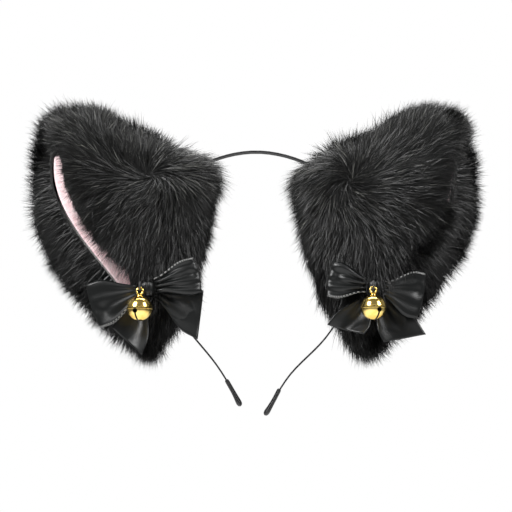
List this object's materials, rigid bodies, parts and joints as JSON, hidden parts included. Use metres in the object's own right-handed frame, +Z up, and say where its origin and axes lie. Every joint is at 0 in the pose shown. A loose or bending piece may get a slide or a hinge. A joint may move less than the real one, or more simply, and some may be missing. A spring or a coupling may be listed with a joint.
{
  "type": "animal ears headband",
  "caption": "Slim black spring headband carrying two hollow long-pile fur cat ears with pink plush lining, a black satin bow and a round gold jingle bell at the front of each ear.",
  "frame": {"origin": "middle of the band's inner face at the crown, where it rests on the head", "axes": "+Z up, +X to the right as seen from in front, -Y to the front where the bows and bells are"},
  "size_m": [0.2065, 0.0609, 0.1447],
  "materials": {
    "steel": "black coated spring steel, satin",
    "rubber": "smooth black rubber",
    "fur": "long black faux fur with grey sheen",
    "plush": "short pale pink plush",
    "felt": "black felt",
    "wadding": "white polyester wadding",
    "satin": "black satin ribbon with corded edges",
    "gold": "polished gold plating",
    "pellet": "plain steel ball",
    "thread": "black sewing thread"
  },
  "bodies": {
    "ears_band": {"ear_left_fur_front": "fur", "ear_left_fur_rear": "fur", "ear_left_stiffener": "felt", "ear_left_lining_front": "plush", "ear_left_lining_rear": "plush", "ear_left_wadding": "wadding", "ear_left_seat_pad": "felt", "ear_left_band_sleeve": "felt", "ear_right_fur_front": "fur", "ear_right_fur_rear": "fur", "ear_right_stiffener": "felt", "ear_right_lining_front": "plush", "ear_right_lining_rear": "plush", "ear_right_wadding": "wadding", "ear_right_seat_pad": "felt", "ear_right_band_sleeve": "felt", "headband": "steel", "band_tip_left": "rubber", "band_tip_right": "rubber", "bow_left_loop_outer": "satin", "bow_left_loop_inner": "satin", "bow_left_tail_outer": "satin", "bow_left_tail_inner": "satin", "bow_left_knot": "satin", "bow_right_loop_outer": "satin", "bow_right_loop_inner": "satin", "bow_right_tail_outer": "satin", "bow_right_tail_inner": "satin", "bow_right_knot": "satin"},
    "thread_left": {"bell_left_thread": "thread"},
    "bell_left": {"bell_left_shell_top": "gold", "bell_left_shell_bottom": "gold", "bell_left_eye": "gold"},
    "pellet_left": {"bell_left_pellet": "pellet"},
    "thread_right": {"bell_right_thread": "thread"},
    "bell_right": {"bell_right_shell_top": "gold", "bell_right_shell_bottom": "gold", "bell_right_eye": "gold"},
    "pellet_right": {"bell_right_pellet": "pellet"}
  },
  "joints": [
    {"name": "bell_left_lift", "type": "hinge", "parent": "ears_band", "child": "thread_left", "pos_m": [-0.0548, -0.0504, -0.07293], "axis": [-1, 0, 0], "range_deg": [0, 40]},
    {"name": "bell_left_swing", "type": "hinge", "parent": "thread_left", "child": "bell_left", "pos_m": [-0.0548, -0.0504, -0.07667], "axis": [0, 1, 0], "range_deg": [-30, 10]},
    {"name": "pellet_left_roll", "type": "hinge", "parent": "bell_left", "child": "pellet_left", "pos_m": [-0.0548, -0.0504, -0.0854], "axis": [0, 1, 0], "range_deg": [-50, 50]},
    {"name": "bell_right_lift", "type": "hinge", "parent": "ears_band", "child": "thread_right", "pos_m": [0.0553, -0.0504, -0.07243], "axis": [-1, 0, 0], "range_deg": [0, 40]},
    {"name": "bell_right_swing", "type": "hinge", "parent": "thread_right", "child": "bell_right", "pos_m": [0.0553, -0.0504, -0.07617], "axis": [0, 1, 0], "range_deg": [-30, 30]},
    {"name": "pellet_right_roll", "type": "hinge", "parent": "bell_right", "child": "pellet_right", "pos_m": [0.0553, -0.0504, -0.0849], "axis": [0, 1, 0], "range_deg": [-50, 50]}
  ]
}
